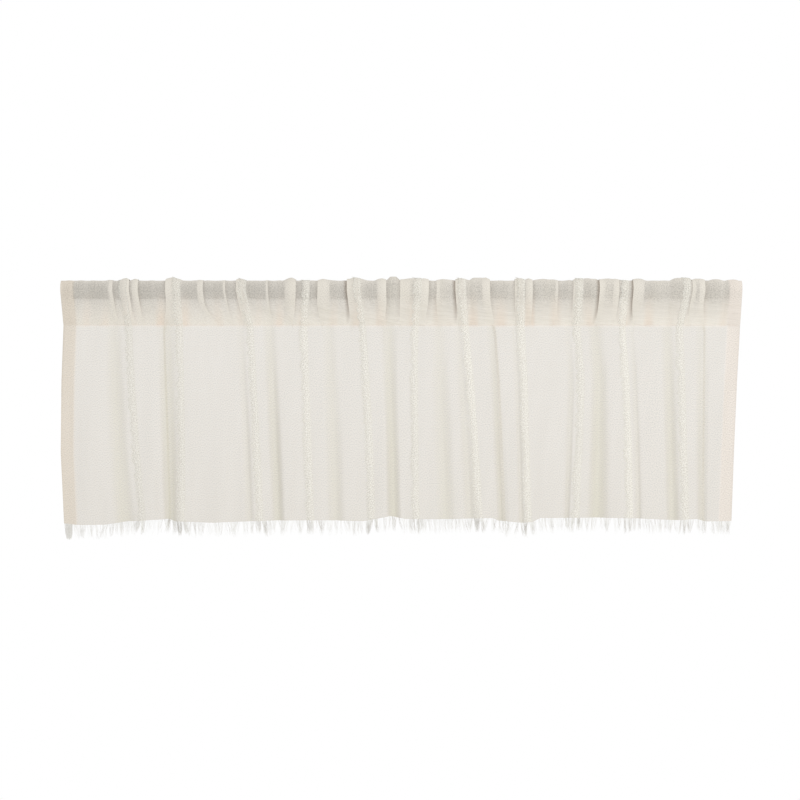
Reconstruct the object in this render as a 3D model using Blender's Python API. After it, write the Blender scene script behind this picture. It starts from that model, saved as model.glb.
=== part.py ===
"""Window valance on rod: a gauze panel gathered on a round rod, eleven frayed strips, a fringe.

Origin on the rod's axis at mid-length, +X to the right as seen, +Z up, the front faces -Y.
Lengths are in millimetres until a mesh is made.
"""
import math
import random

import bpy
import numpy as np

MM = 0.001

# Rod
ROD_RADIUS = 14.0
ROD_LENGTH = 1068.0
ROD_SIDES = 32

# Cloth
CLOTH = 1.3
SIDE_HEM = 20.0
SIDE_HEM_THICK = 2.2
POCKET_RADIUS = 15.5
SEAM_Z = -55.0
STITCH_HALF = 1.7
PIECE_GAP = 0.4

# Strips
STRIP_WIDTH = 12.5
STRIP_THICK = 1.1

# Fringe
FRINGE_LENGTH = 20.5
BACKING_HEIGHT = 2.2
BACKING_THICK = 1.8
STRAND_SPACING = 4.6

# Where the cloth's edges and the strips' middles run: x at each of these heights, from rod to hem
LEVELS = (0.0, -55.0, -142.0, -252.0, -362.0)
RUNS = {
    "left edge": (-535.5, -532, -535, -536, -531),
    "strip 1": (-438, -430, -426, -418, -408),
    "strip 2": (-353, -350, -348, -346, -346),
    "strip 3": (-250, -239, -234, -228, -223),
    "strip 4": (-150, -154, -151, -147, -143),
    "strip 5": (-70, -62, -56, -50, -47),
    "strip 6": (26, 21, 20, 21, 23),
    "strip 7": (95, 100, 108, 116, 122),
    "strip 8": (188, 188, 193, 196, 199),
    "strip 9": (280, 276, 283, 279, 274),
    "strip 10": (351, 347, 353, 357, 359),
    "strip 11": (448, 438, 441, 444, 447),
    "right edge": (535, 533, 528, 523, 519),
}

# Tucks pressed on the rod, by their place on it: the higher side is a sharp edge
TUCKS = (
    # x, width, height, side of the sharp edge
    (-457, 12, 1.2, 1),
    (-436, 18, 3.4, 1),
    (-412, 16, 2.8, -1),
    (-350, 42, 4.8, -1),
    (-316, 14, 2.0, 1),
    (-250, 18, 3.4, -1),
    (-190, 24, 4.2, 1),
    (-157, 28, 4.4, -1),
    (-130, 14, 2.2, 1),
    (-73, 28, 4.4, 1),
    (-44, 16, 3.6, -1),
    (-14, 26, 5.6, 1),
    (26, 54, 3.6, 1),
    (70, 16, 1.6, -1),
    (94, 16, 3.8, -1),
    (119, 24, 4.6, 1),
    (186, 18, 4.2, -1),
    (216, 20, 3.8, 1),
    (292, 44, 3.6, 1),
    (334, 30, 3.6, -1),
    (366, 30, 3.6, 1),
    (440, 32, 3.8, 1),
    (468, 16, 3.0, 1),
    (492, 14, 1.8, 1),
)

# Hanging folds below the rod, by the same places: how wide each is, and how far back it goes at the hem
FOLDS = (
    # x, width, depth
    (-460, 30, 8.5),
    (-375, 36, 11.5),
    (-264, 14, 4.5),
    (-214, 30, 9.5),
    (-116, 24, 6.5),
    (-22, 36, 11.5),
    (59, 24, 7.0),
    (84, 14, 5.0),
    (139, 22, 9.0),
    (177, 14, 4.5),
    (264, 14, 4.5),
    (309, 32, 11.5),
    (366, 14, 4.5),
    (427, 28, 9.5),
    (480, 22, 8.0),
)

# The bottom edge as it hangs
HEM = (
    # x at the hem, z
    (-531, -367),
    (-510, -369.5),
    (-467, -369),
    (-433, -364),
    (-366, -360),
    (-358, -363.5),
    (-300, -366),
    (-205, -362.5),
    (-120, -362),
    (-60, -363.5),
    (-18, -355.5),
    (6, -360),
    (60, -360.5),
    (143, -358.5),
    (152, -362.5),
    (190, -366),
    (206, -365),
    (218, -358.5),
    (300, -358),
    (370, -359),
    (432, -362),
    (466, -360),
    (478, -364),
    (519, -363),
)

# How far forward of the stitching the cloth hangs between its folds
FRONT_OUT = 3.5

# How far down the cloth each row of points lies, from the pocket's stitching to the hem
ROWS = (0.024, 0.2, 0.45, 0.72, 0.972, 1.0)

# How much of a fold's depth is open at each height
OPENING = ((-14.0, 0.0), (-55.0, 0.22), (-142.0, 0.55), (-252.0, 0.8), (-362.0, 1.0))

ARC = tuple(math.radians(a) for a in range(-105, 106, 30))


def run_x(place, z):
    """x at height z of the line that crosses the rod at this place."""
    runs = np.array(list(RUNS.values()), float)
    heights = np.array(LEVELS)[::-1]
    at_z = [np.interp(z, heights, run[::-1]) for run in runs]
    return float(np.interp(place, runs[:, 0], at_z))


def hem_z(place):
    x = run_x(place, LEVELS[-1])
    return float(np.interp(x, [row[0] for row in HEM], [row[1] for row in HEM]))


def opening(z):
    rows = OPENING[::-1]
    return float(np.interp(z, [row[0] for row in rows], [row[1] for row in rows]))


def tuck_height(place):
    """How far the pressed tucks stand out from the rod here."""
    height = 0.0
    for x, width, high, side in TUCKS:
        from_edge = (x + side * width / 2 - place) * side
        if 0 < from_edge < width:
            height = max(height, high * min(1.0, from_edge / 2.0, (width - from_edge) / (width - 2.0)))
    return height


def fold_back(place):
    """How far the hem lies behind the front of the cloth here."""
    back = 0.0
    for x, width, depth in FOLDS:
        off = abs(place - x) / (width / 2)
        if off < 1:
            back = max(back, depth * 0.5 * (1 + math.cos(math.pi * off)))
    return back - FRONT_OUT + 0.8 * math.sin(place / 61.0) + 0.5 * math.sin(place / 23.0 + 1.0)


def hang_y(place, z):
    return fold_back(place) * opening(z)


def strip_places():
    return [run[0] for name, run in RUNS.items() if name.startswith("strip")]


def columns():
    """The places across the rod where the cloth has a column of points, left to right."""
    left = RUNS["left edge"][0]
    right = RUNS["right edge"][0]
    kept = [left, left + SIDE_HEM, right - SIDE_HEM, right]
    for place in strip_places():
        kept += [place - STRIP_WIDTH / 2, place + STRIP_WIDTH / 2]

    def add(place, apart):
        inside = any(abs(place - strip) < STRIP_WIDTH / 2 for strip in strip_places())
        if left < place < right and not inside and min(abs(place - old) for old in kept) >= apart:
            kept.append(place)

    for x, width, _high, side in TUCKS:
        add(x + side * (width / 2 - 2.0), 2.0)
        add(x + side * width / 2, 2.0)
        add(x - side * width / 2, 4.0)
    for x, width, _depth in FOLDS:
        add(x, 4.0)
        add(x - width / 2, 5.0)
        add(x + width / 2, 5.0)
    kept.sort()
    for a, b in zip(kept[:-1], kept[1:]):
        on_strip = any(a < strip < b for strip in strip_places())
        parts = 1 if on_strip else math.ceil((b - a) / 19.0)
        for i in range(1, parts):
            kept.append(a + (b - a) * i / parts)
    return sorted(kept)


def thickness(place):
    from_side = min(place - RUNS["left edge"][0], RUNS["right edge"][0] - place)
    return SIDE_HEM_THICK if from_side <= SIDE_HEM + 0.01 else CLOTH


def plan_normals(line):
    """Which way is forward at each point of a line seen from above, with corners mitred."""
    steps = np.diff(line[:, :2], axis=0)
    steps /= np.linalg.norm(steps, axis=1)[:, None]
    sides = np.stack([steps[:, 1], -steps[:, 0]], axis=1)
    before = np.vstack([sides[:1], sides])
    after = np.vstack([sides, sides[-1:]])
    mean = before + after
    mean /= np.linalg.norm(mean, axis=1)[:, None]
    mitre = np.minimum(1.4, 1 / np.maximum(0.1, (mean * before).sum(axis=1)))
    return mean * mitre[:, None]


def hanging_rows(places):
    """Front and back points of the single layer, as arrays of row, column and x y z."""
    fronts = []
    backs = []
    half = np.array([thickness(place) / 2 for place in places])
    for row in ROWS:
        line = []
        for place in places:
            z = SEAM_Z + row * (hem_z(place) - SEAM_Z)
            line.append((run_x(place, z), hang_y(place, z), z))
        line = np.array(line)
        forward = plan_normals(line)
        front = line.copy()
        back = line.copy()
        front[:, :2] += forward * half[:, None]
        back[:, :2] -= forward * half[:, None]
        fronts.append(front)
        backs.append(back)
    return np.array(fronts), np.array(backs)


def pocket_loops(places):
    """Outer points from the front stitching over the rod to the back, and inner points round the tunnel."""
    outer = []
    inner = []
    for place in places:
        thick = thickness(place)
        tuck = tuck_height(place)
        seam_y = hang_y(place, SEAM_Z)
        middle_z = (SEAM_Z + 2 - POCKET_RADIUS) / 2
        half_y = POCKET_RADIUS * 0.52
        middle = hang_y(place, middle_z)
        outer_column = [(run_x(place, SEAM_Z), seam_y - STITCH_HALF, SEAM_Z)]
        outer_column.append((run_x(place, middle_z), middle - half_y - thick - 0.6 * tuck, middle_z))
        inner_column = [(run_x(place, SEAM_Z), seam_y, SEAM_Z + 3.0)]
        inner_column.append((run_x(place, middle_z), middle - half_y, middle_z))
        for angle in ARC:
            front_share = 1.0 if angle < 0.5 else 0.4
            radius = POCKET_RADIUS + thick + front_share * tuck
            z = radius * math.cos(angle)
            outer_column.append((run_x(place, z), radius * math.sin(angle), z))
            z = POCKET_RADIUS * math.cos(angle)
            inner_column.append((run_x(place, z), POCKET_RADIUS * math.sin(angle), z))
        outer_column.append((run_x(place, middle_z), middle + half_y + thick, middle_z))
        outer_column.append((run_x(place, SEAM_Z), seam_y + STITCH_HALF, SEAM_Z))
        inner_column.append((run_x(place, middle_z), middle + half_y, middle_z))
        outer.append(outer_column)
        inner.append(inner_column)
    return np.array(outer), np.array(inner)


def make(name, points, faces, material):
    mesh = bpy.data.meshes.new(name)
    mesh.from_pydata([tuple(np.asarray(p) * MM) for p in points], [], faces)
    mesh.update()
    mesh.materials.append(material)
    obj = bpy.data.objects.new(name, mesh)
    bpy.context.scene.collection.objects.link(obj)
    return obj


def colour(name, rgb, roughness, metallic=0.0):
    material = bpy.data.materials.new(name)
    material.use_nodes = True
    shader = material.node_tree.nodes["Principled BSDF"]
    shader.inputs["Base Color"].default_value = (*rgb, 1.0)
    shader.inputs["Roughness"].default_value = roughness
    shader.inputs["Metallic"].default_value = metallic
    material.diffuse_color = (*rgb, 1.0)
    return material


def tube_faces(sections):
    """Quads joining closed rings of point numbers, one after another."""
    faces = []
    for ring, following in zip(sections[:-1], sections[1:]):
        count = len(ring)
        for i in range(count):
            j = (i + 1) % count
            faces.append((ring[i], ring[j], following[j], following[i]))
    return faces


def build_panel(places, material):
    fronts, backs = hanging_rows(places)
    outer, inner = pocket_loops(places)
    rows = len(ROWS)
    # One ring per column: up the front from the hem, over the rod, and down the back
    rings = []
    for j in range(len(places)):
        rings.append(np.vstack([fronts[::-1, j], outer[j], backs[:, j]]))
    size = len(rings[0])
    loop = inner.shape[1]
    points = np.vstack(rings + [inner[j] for j in range(len(places))])
    start = size * len(places)
    outer_rings = [[j * size + i for i in range(size)] for j in range(len(places))]
    inner_rings = [[start + j * loop + i for i in range(loop)] for j in range(len(places))]
    faces = tube_faces(outer_rings)
    faces += [face[::-1] for face in tube_faces(inner_rings)]
    for j, turned in ((0, False), (len(places) - 1, True)):
        ring = outer_rings[j]
        tunnel = inner_rings[j] + inner_rings[j][:1]
        top = ring[rows:size - rows]
        cap = [(ring[i], ring[size - 1 - i], ring[size - 2 - i], ring[i + 1]) for i in range(rows)]
        cap.append((ring[rows], ring[size - 1 - rows], tunnel[0]))
        for i in range(loop):
            cap.append((top[i], tunnel[i], tunnel[i + 1], top[i + 1]))
        faces += [face[::-1] for face in cap] if turned else cap
    make("valance_panel", points, faces, material)
    return fronts, backs, outer


def build_strips(places, fronts, outer, material):
    draw = random.Random(11)
    for number, place in enumerate(strip_places(), 1):
        j = int(np.argmin([abs(p - (place - STRIP_WIDTH / 2)) for p in places]))
        left = np.vstack([fronts[::-1, j], outer[j][:-1]])
        right = np.vstack([fronts[::-1, j + 1], outer[j + 1][:-1]])
        left[0] += (left[1] - left[0]) * 0.12
        right[0] += (right[1] - right[0]) * 0.12
        sections = []
        for row in range(len(left)):
            after = min(row + 1, len(left) - 1)
            before = max(row - 1, 0)
            along = (left[after] + right[after]) - (left[before] + right[before])
            across = right[row] - left[row]
            out = np.cross(across, along)
            out /= np.linalg.norm(out)
            a = left[row] + across * draw.uniform(0.05, 0.22)
            b = left[row] + across * draw.uniform(0.93, 0.96)
            near = out * PIECE_GAP
            far = out * (PIECE_GAP + STRIP_THICK)
            sections.append([a + near, b + near, b + far, a + far])
        points = [point for section in sections for point in section]
        rings = [[4 * i + k for k in range(4)] for i in range(len(sections))]
        faces = tube_faces(rings)
        faces.append(tuple(rings[0][::-1]))
        faces.append(tuple(rings[-1]))
        make(f"frayed_strip_{number:02d}", points, faces, material)


def build_fringe(fronts, backs, material):
    draw = random.Random(5)
    middle = (fronts[-1] + backs[-1]) / 2
    line = []
    for a, b in zip(middle[:-1], middle[1:]):
        parts = max(1, round((b[0] - a[0]) / STRAND_SPACING))
        line += [a + (b - a) * i / parts for i in range(parts)]
    line.append(middle[-1])
    line = np.array(line)
    forward = plan_normals(line)
    top = line.copy()
    top[:, 2] -= PIECE_GAP
    points = []
    for spot, way in zip(top, forward):
        out = np.array([way[0], way[1], 0.0]) * BACKING_THICK / 2
        down = np.array([0.0, 0.0, -BACKING_HEIGHT])
        points += [spot + out, spot - out, spot - out + down, spot + out + down]
    rings = [[4 * i + k for k in range(4)] for i in range(len(line))]
    faces = [rings[0][::-1], rings[-1]]
    for ring, following in zip(rings[:-1], rings[1:]):
        for i in (0, 1, 3):
            k = (i + 1) % 4
            faces.append((ring[i], ring[k], following[k], following[i]))
        # The bottom of the backing: one half stays flat, a strand grows from the other
        faces.append((ring[2], following[3], following[2]))
        root = [ring[3], following[3], ring[2]]
        corners = np.array([points[i] for i in root])
        centre = corners.mean(axis=0)
        at_corner = 3.0 if centre[0] < RUNS["left edge"][-1] + 14 else 0.0
        length = FRINGE_LENGTH - BACKING_HEIGHT + at_corner + draw.uniform(-3.0, 1.5)
        shift = np.array([draw.uniform(-1.6, 1.6), draw.uniform(-1.0, 1.0), -length])
        first = len(points)
        points += [centre + (corner - centre) * 0.3 + shift for corner in corners]
        for i in range(3):
            k = (i + 1) % 3
            faces.append((root[i], root[k], first + k, first + i))
        faces.append((first, first + 1, first + 2))
    make("hem_fringe", points, faces, material)


def build_rod(material):
    half = ROD_LENGTH / 2
    points = []
    for x in (-half, half):
        for i in range(ROD_SIDES):
            turn = 2 * math.pi * i / ROD_SIDES
            points.append((x, ROD_RADIUS * math.cos(turn), ROD_RADIUS * math.sin(turn)))
    ends = [list(range(ROD_SIDES)), list(range(ROD_SIDES, 2 * ROD_SIDES))]
    faces = tube_faces(ends)
    faces += [tuple(ends[0][::-1]), tuple(ends[1])]
    make("rod", points, faces, material)


def face_outwards():
    """Turns any mesh whose volume comes out negative."""
    for obj in bpy.data.objects:
        mesh = obj.data
        mesh.calc_loop_triangles()
        volume = 0.0
        for triangle in mesh.loop_triangles:
            a, b, c = (mesh.vertices[i].co for i in triangle.vertices)
            volume += a.dot(b.cross(c))
        if volume < 0:
            mesh.flip_normals()


for old in list(bpy.data.objects):
    bpy.data.objects.remove(old)

gauze = colour("gauze", (0.80, 0.77, 0.70), 0.9)
strip_cloth = colour("frayed_cotton", (0.83, 0.79, 0.70), 0.95)
thread = colour("fringe_thread", (0.86, 0.84, 0.78), 0.95)
grey_metal = colour("rod_metal", (0.42, 0.42, 0.41), 0.4, 0.8)

across = columns()
front_rows, back_rows, over_rod = build_panel(across, gauze)
build_strips(across, front_rows, over_rod, strip_cloth)
build_fringe(front_rows, back_rows, thread)
build_rod(grey_metal)
face_outwards()
print("columns", len(across))
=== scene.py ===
import math
import random

import bpy
import numpy as np
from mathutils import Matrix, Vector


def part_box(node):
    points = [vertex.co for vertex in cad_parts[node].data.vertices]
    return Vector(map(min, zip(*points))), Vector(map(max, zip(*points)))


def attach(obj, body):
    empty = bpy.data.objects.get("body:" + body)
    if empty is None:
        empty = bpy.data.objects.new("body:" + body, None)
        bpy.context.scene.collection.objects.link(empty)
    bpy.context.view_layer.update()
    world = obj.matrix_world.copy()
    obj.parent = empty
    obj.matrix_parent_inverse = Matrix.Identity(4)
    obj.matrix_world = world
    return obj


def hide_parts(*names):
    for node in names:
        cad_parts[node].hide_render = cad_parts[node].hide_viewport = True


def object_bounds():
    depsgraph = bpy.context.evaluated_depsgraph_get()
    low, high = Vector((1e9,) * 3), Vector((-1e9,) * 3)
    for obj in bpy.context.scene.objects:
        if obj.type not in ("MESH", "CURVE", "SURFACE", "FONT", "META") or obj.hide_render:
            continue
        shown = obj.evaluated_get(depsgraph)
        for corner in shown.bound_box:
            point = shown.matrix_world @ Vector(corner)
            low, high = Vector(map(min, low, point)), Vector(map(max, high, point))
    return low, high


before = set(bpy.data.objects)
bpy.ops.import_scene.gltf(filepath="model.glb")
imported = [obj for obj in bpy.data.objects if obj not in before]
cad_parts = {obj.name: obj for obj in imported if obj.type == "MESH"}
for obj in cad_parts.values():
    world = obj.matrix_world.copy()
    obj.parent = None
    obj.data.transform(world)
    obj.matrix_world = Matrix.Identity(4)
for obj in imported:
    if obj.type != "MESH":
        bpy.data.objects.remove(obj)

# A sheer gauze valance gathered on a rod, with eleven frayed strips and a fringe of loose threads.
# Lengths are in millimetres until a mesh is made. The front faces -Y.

cad_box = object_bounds()
MM = 0.001

# The photograph's frame: how much it takes in, and where the rod's middle lies in it
PHOTO_PIXELS = 800
MM_PER_PIXEL = 1.575
ROD_MIDDLE_PIXEL = (401.5, 290.3)
CAMERA_DISTANCE = 4600.0
SENSOR = 36.0

# Cloth, as cut
SIDE_HEM = 19.0
LAYER = 0.7

# Pocket and rod
ROD_RADIUS = 14.0
POCKET_RADIUS = 15.0
POCKET_SLACK = 1.1
SEAM_Z = -55.0
STITCH_HALF = 0.5
ARC_END = math.radians(106)

STRIP_WIDTH = 12.5
FRINGE_LENGTH = 21.0

# Share of the view that one flat layer of gauze closes, how much of that it shades, and its colour
GAUZE_COVER = 0.72
GAUZE_SHADE = 0.15
GAUZE_DARK = (0.755, 0.713, 0.64)
GAUZE_LIGHT = (0.805, 0.764, 0.697)

# How much of the view its speckle, the lines of its threads and its broad blotches open or close
SPECKLE_COVER = 0.14
LINE_COVER = 0.02
BLOTCH_COVER = 0.03

# The gauze's tint against the plain panel's colour: a yellower tone in its folds, painted light that
# lightens the heading towards its stitching and its right end, peach patches of colour in the heading,
# a painted highlight on bunched ridges, painted shadow in cracks, the left side hem's pinker colour, and
# painted light on the right side hem
FOLD_TINT = (1.0, 1.01, 0.95)
HEADING_PAINTED_LIGHT_LEFT = (1.10, 1.095, 1.065)
HEADING_PAINTED_LIGHT_RIGHT = (1.22, 1.22, 1.20)
PEACH_TINT = (1.11, 1.02, 0.95)
RIDGE_PAINTED_LIGHT = (1.09, 1.09, 1.075)
CRACK_PAINTED_SHADOW = (0.5, 0.44, 0.4)
LEFT_HEM_TINT = (1.03, 0.99, 0.945)
RIGHT_HEM_PAINTED_LIGHT = (1.12, 1.09, 1.09)

# The peach patches: how strong they are, how far apart, and how much height counts beside width
PEACH_SHARE = 0.9
PEACH_SIZE = 34.0
PEACH_STRETCH = 0.4

# Share of a ridge's painted highlight that is gone at the stitching
RIDGE_FADE = 0.5

# Painted light across a strip, from painted shade at its ragged left edge to a painted highlight towards
# its right edge, and each strip's own painted lightness
STRIP_SHADE_AND_HIGHLIGHT = (0.92, 1.0, 1.06, 1.05, 0.99)
STRIP_PAINTED_LIGHT = (0.95, 0.98, 0.99, 1.02, 1.0, 1.01, 1.05, 1.04, 1.0, 1.05, 1.0)

# A strip's own colour, and the rod's
STRIP_DARK = (0.79, 0.755, 0.66)
STRIP_PALE = (0.92, 0.90, 0.835)
ROD_DARK = (0.068, 0.069, 0.058)
ROD_PALE = (0.112, 0.110, 0.096)

# Layers that the cloth's bunching adds at most: at a tuck, at a puff, in the deepest fold and at the hem.
# A tuck's grow from the least with its height, as far as the full height
TUCK_BUNCH = 1.0
FULL_TUCK = 4.5
LEAST_TUCK_BUNCH = 0.3
PUFF_BUNCH = 0.2
FOLD_BUNCH = 0.6
HEM_BUNCH = 0.25

# Plain cloth on the rod bunches more and more from the first of these places to the second, in waves
PLAIN_PLACES = (-200, 120)
PLAIN_BUNCH = (0.02, 0.24)
PLAIN_WAVE = 0.5
PLAIN_WAVE_SIZE = 45.0

# Where the cloth's edges and the strips' middles run: x at each of these heights, from rod to hem
LEVELS = (0.0, -55.0, -142.0, -252.0, -362.0)
RUNS = {
    "left edge": (-535.5, -532, -535, -536, -531),
    "strip 1": (-438, -430, -426, -418, -408),
    "strip 2": (-353, -350, -348, -346, -346),
    "strip 3": (-250, -239, -234, -228, -223),
    "strip 4": (-150, -154, -151, -147, -143),
    "strip 5": (-70, -62, -56, -50, -47),
    "strip 6": (26, 21, 20, 21, 23),
    "strip 7": (95, 100, 108, 116, 122),
    "strip 8": (188, 188, 193, 196, 199),
    "strip 9": (280, 276, 283, 279, 274),
    "strip 10": (351, 347, 353, 357, 359),
    "strip 11": (448, 438, 441, 444, 447),
    "right edge": (535, 533, 528, 523, 519),
}

# Tucks pressed on the rod. The cloth puffs up from it towards a sharp edge, where it folds back under
# itself by the lap. Most have opened out flat just below the stitching, and three stay lapped down to
# the hem.
TUCKS = (
    # edge on rod, edge below, side of the edge, puff width, height, lap, lap at hem
    (-454, -452, 1, 10, 1.5, 6, 0),
    (-428, -428, 1, 16, 4.2, 3, 0),
    (-414, -410, 1, 12, 3.2, 10, 0),
    (-371, -380, -1, 26, 5.4, 11, 3),
    (-312, -292, 1, 10, 2.0, 9, 0),
    (-277, -275, 1, 6, 1.0, 3, 0),
    (-260, -260, -1, 16, 3.8, 4, 0),
    (-210, -208, 1, 6, 1.0, 3, 0),
    (-166, -168, 1, 20, 4.8, 17, 0),
    (-132, -126, -1, 24, 2.6, 19, 0),
    (-86, -88, -1, 32, 5.2, 10, 0),
    (-24, -30, 1, 18, 4.0, 14, 0),
    (-2, -4, -1, 46, 4.0, 15, 0),
    (43, 40, 1, 24, 4.0, 12, 0),
    (55, 57, -1, 30, 2.4, 5, 0),
    (84.5, 84, -1, 22, 4.4, 3, 0),
    (139, 146, 1, 18, 5.0, 12, 4),
    (178, 178, -1, 18, 4.8, 3, 0),
    (206, 206, 1, 14, 3.8, 10, 0),
    (246, 250, 1, 8, 1.2, 4, 0),
    (270, 270, -1, 20, 3.0, 3, 0),
    (311, 308, -1, 28, 3.7, 8, 0),
    (342, 340, 1, 14, 3.7, 9, 0),
    (364, 368, -1, 20, 3.8, 17, 0),
    (457, 458, -1, 10, 3.2, 6, 0),
    (477, 485, 1, 16, 3.0, 8, 3),
)

# The tucks, by their edge on the rod, whose crack gets a dark painted shadow, and the other tucks' share of
# that painted shadow
SHADOWED_CRACK_TUCKS = (-86, 84.5, 311, 364)
PLAIN_CRACK_SHADOW = 0.2

# Where single cloth stands off the rod without a tuck
PUFFS = (
    # place, width, height
    (-12, 28, 6.6),
    (120, 26, 5.0),
    (224, 44, 2.4),
    (290, 60, 3.4),
    (442, 40, 4.4),
    (466, 22, 3.4),
    (494, 22, 2.2),
    (520, 20, 1.6),
)

# Hanging folds, as the CAD has them: how wide each is, and how far back it goes at the hem
FOLDS = (
    # place, width, depth
    (-460, 30, 8.5),
    (-375, 36, 11.5),
    (-264, 14, 4.5),
    (-214, 30, 9.5),
    (-116, 24, 6.5),
    (-22, 36, 11.5),
    (59, 24, 7.0),
    (84, 14, 5.0),
    (139, 22, 9.0),
    (177, 14, 4.5),
    (264, 14, 4.5),
    (309, 32, 11.5),
    (366, 14, 4.5),
    (427, 28, 9.5),
    (480, 22, 8.0),
)

# The bottom edge as it hangs
HEM = (
    # x at the hem, z
    (-531, -367),
    (-510, -369.5),
    (-467, -369),
    (-433, -364),
    (-366, -360),
    (-358, -363.5),
    (-300, -366),
    (-205, -362.5),
    (-120, -362),
    (-60, -363.5),
    (-18, -355.5),
    (6, -360),
    (60, -360.5),
    (143, -358.5),
    (152, -362.5),
    (190, -366),
    (206, -365),
    (218, -358.5),
    (300, -358),
    (370, -359),
    (432, -362),
    (466, -360),
    (478, -364),
    (519, -363),
)

# How much of a fold's depth is open at each height, as in the CAD
OPENING = ((-14.0, 0.0), (-55.0, 0.22), (-142.0, 0.55), (-252.0, 0.8), (-362.0, 1.0))

# How far forward of the stitching the cloth hangs between its folds
FRONT_OUT = 3.5

# Slow waves of the hanging cloth, as the CAD has them
SWAYS = (
    # depth, width for each radian, start
    (0.8, 61.0, 0.0),
    (0.5, 23.0, 1.0),
)

# Gathers: how far apart, how much height counts beside width, how high, and where they have died out
# below the stitching
GATHER_SIZE = 15.0
GATHER_STRETCH = 0.15
GATHER_HEIGHT = 0.35
GATHER_DROP = 90.0

# The soft cockle of the hanging cloth: the same values, and where it is full below the stitching
COCKLE_SIZE = 66.0
COCKLE_STRETCH = 0.3
COCKLE_HEIGHT = 1.5
COCKLE_DROP = 200.0

# The pocket's front ends this far behind the rod's middle. Its back has these shares of the front's lift
# and gathers
POCKET_FRONT_END = 4.0
BACK_LIFT = 0.4
BACK_GATHERS = 0.5

# The pocket's slack at the rod's top, as a share of the most, and the least room round the rod
TOP_SLACK = 0.2
LEAST_ROOM = 0.1

# The heights between which a tuck on the rod opens out
TUCK_CLOSED_Z = -15.0
TUCK_OPEN_Z = -70.0

# How high a tuck stands at its pressed edge, as a share of its puff, and the share of the puff's width
# over which it rises from there
EDGE_PUFF = 0.45
EDGE_RISE = 0.35

# Below this, cloth that turns away from the room closes no further
LEAST_FACING = 0.4

# A turn of the cloth sharper than this is a crease
CREASE = math.radians(60)

# Points across a lap, half the width that it takes up once opened, and the share of it that it fills
LAP_POINTS = 11
LAP_OPEN_HALF = 3.0
LAP_SPREAD = 0.9

SPAN_SPACING = 3.3
ROW_SPACING = 4.2

# Rows of the hanging cloth, the pocket's front slope, its arc over the rod and its back slope
STITCH_ROW = round((SEAM_Z - LEVELS[-1]) / ROW_SPACING)
SLOPE_ROWS = 9
ARC_ROWS = 21

# Stitches: length, thickness, how far a stitch's ends and its middle stand off the cloth, and how far
# the row stays inside the cloth's sides
STITCH_LENGTH = 3.0
STITCH_RADIUS = 0.5
STITCH_ENDS_OFF = 0.35
STITCH_MIDDLE_OFF = 0.7
STITCH_INSET = 1.0

# A strip's ragged left edge, as shares of its width: how uneven and over how many rows, where it lies in
# the middle, and its limits. The right edge is even
RAGGED_SHORT = (0.09, 3)
RAGGED_LONG = (0.07, 17)
RAGGED_MIDDLE = 0.04
RAGGED_LIMITS = (-0.12, 0.5)
EVEN_EDGE = 0.97

# A strip's section: how far it lies off the gauze, its least thickness, what its knots add, and for each
# line of points its place across the strip and its share of the thickness
STRIP_OFF = 0.25
STRIP_THICK = 0.35
STRIP_KNOTS = 0.2
STRIP_SECTION = ((0.0, 0.3), (0.3, 0.8), (0.62, 0.9), (0.85, 0.8), (1.0, 0.3))

# Rows of a strip for each row of the cloth, and loose ends for each of the strip's rows
STRIP_FINENESS = 3
LOOSE_ENDS = 3

# The share of the loose ends that stand from the ragged edge, and where their roots lie, as a share of
# the strip's width from that edge. The rest stand on the strip's face and are mostly shorter
ENDS_ON_EDGE = 0.6
EDGE_ROOT = 0.02
FACE_ROOT = (0.1, 0.8)
EDGE_REACH = (1.0, 3.0)
FACE_REACH = (0.8, 1.8)

# Each loose end: how far its root lies off the gauze, how much it leans down, and its radius
ROOT_OFF = 0.4
END_LEAN = (-0.7, 0.9)
END_RADIUS = (0.13, 0.22)

# The fringe's clumps: width, spread of their lean, and length as a share of the fringe's
CLUMP_WIDTH = (2.5, 8.0)
CLUMP_LEAN = 2.8
CLUMP_LENGTH = (0.8, 1.02)

# Threads of the fringe: how many in a millimetre, and how thick against their radius below. Both are
# more this near to a strip's end
FRINGE_DENSITY = (1.1, 3.6)
FRINGE_THICKNESS = (0.7, 1.0)
NEAR_STRIP = 8.0
DENSITY_BELOW_STRIP = (4.0, 6.5)
THICKNESS_BELOW_STRIP = 1.15

# Each thread of the fringe: length as a share of its clump's, radius, and curl
OWN_LENGTH = (0.66, 1.2)
FRINGE_RADIUS = (0.1, 0.16)
FRINGE_CURL = (0.4, 3.4)

# The thick tassel below the left side hem, its threads' length in its middle, how much shorter they are
# at its sides, and how even
TASSEL_THREADS = 170
TASSEL_INSET = 2.0
TASSEL_WIDTH = 13.0
TASSEL_LENGTH = 25.0
TASSEL_ROUNDING = 0.3
TASSEL_EVENNESS = (0.85, 1.0)
TASSEL_RADIUS = (0.14, 0.2)
TASSEL_CURL = 0.4

# A thread's tip is thinner by this share, and no thread runs along this direction
TIP_THINNING = 0.45
OFF_THREAD = (0.31, 0.9, 0.29)

# How bright the white surround is to the cloth, and the broad light's size, power, place and turn
SURROUND_LIGHT = 0.78
LIGHT_SIZE = (2.6, 2.0)
LIGHT_POWER = 23.0
LIGHT_PLACE = (1.3, -2.8, 1.1)
LIGHT_TURN = (math.radians(68), 0, math.radians(25))

FLOOR_HALF = 1100.0
FLOOR_Z = -1020.0

# Seeds of the random draws. Each strip adds its number to its own
GATHER_SEED = 3
COCKLE_SEED = 4
PEACH_SEED = 5
PLAIN_SEED = 6
FRINGE_SEED = 7
STRIP_SEED = 100


def mix(a, b, share):
    return a + (b - a) * share


def smooth(share):
    share = np.clip(share, 0.0, 1.0)
    return share * share * (3 - 2 * share)


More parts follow.
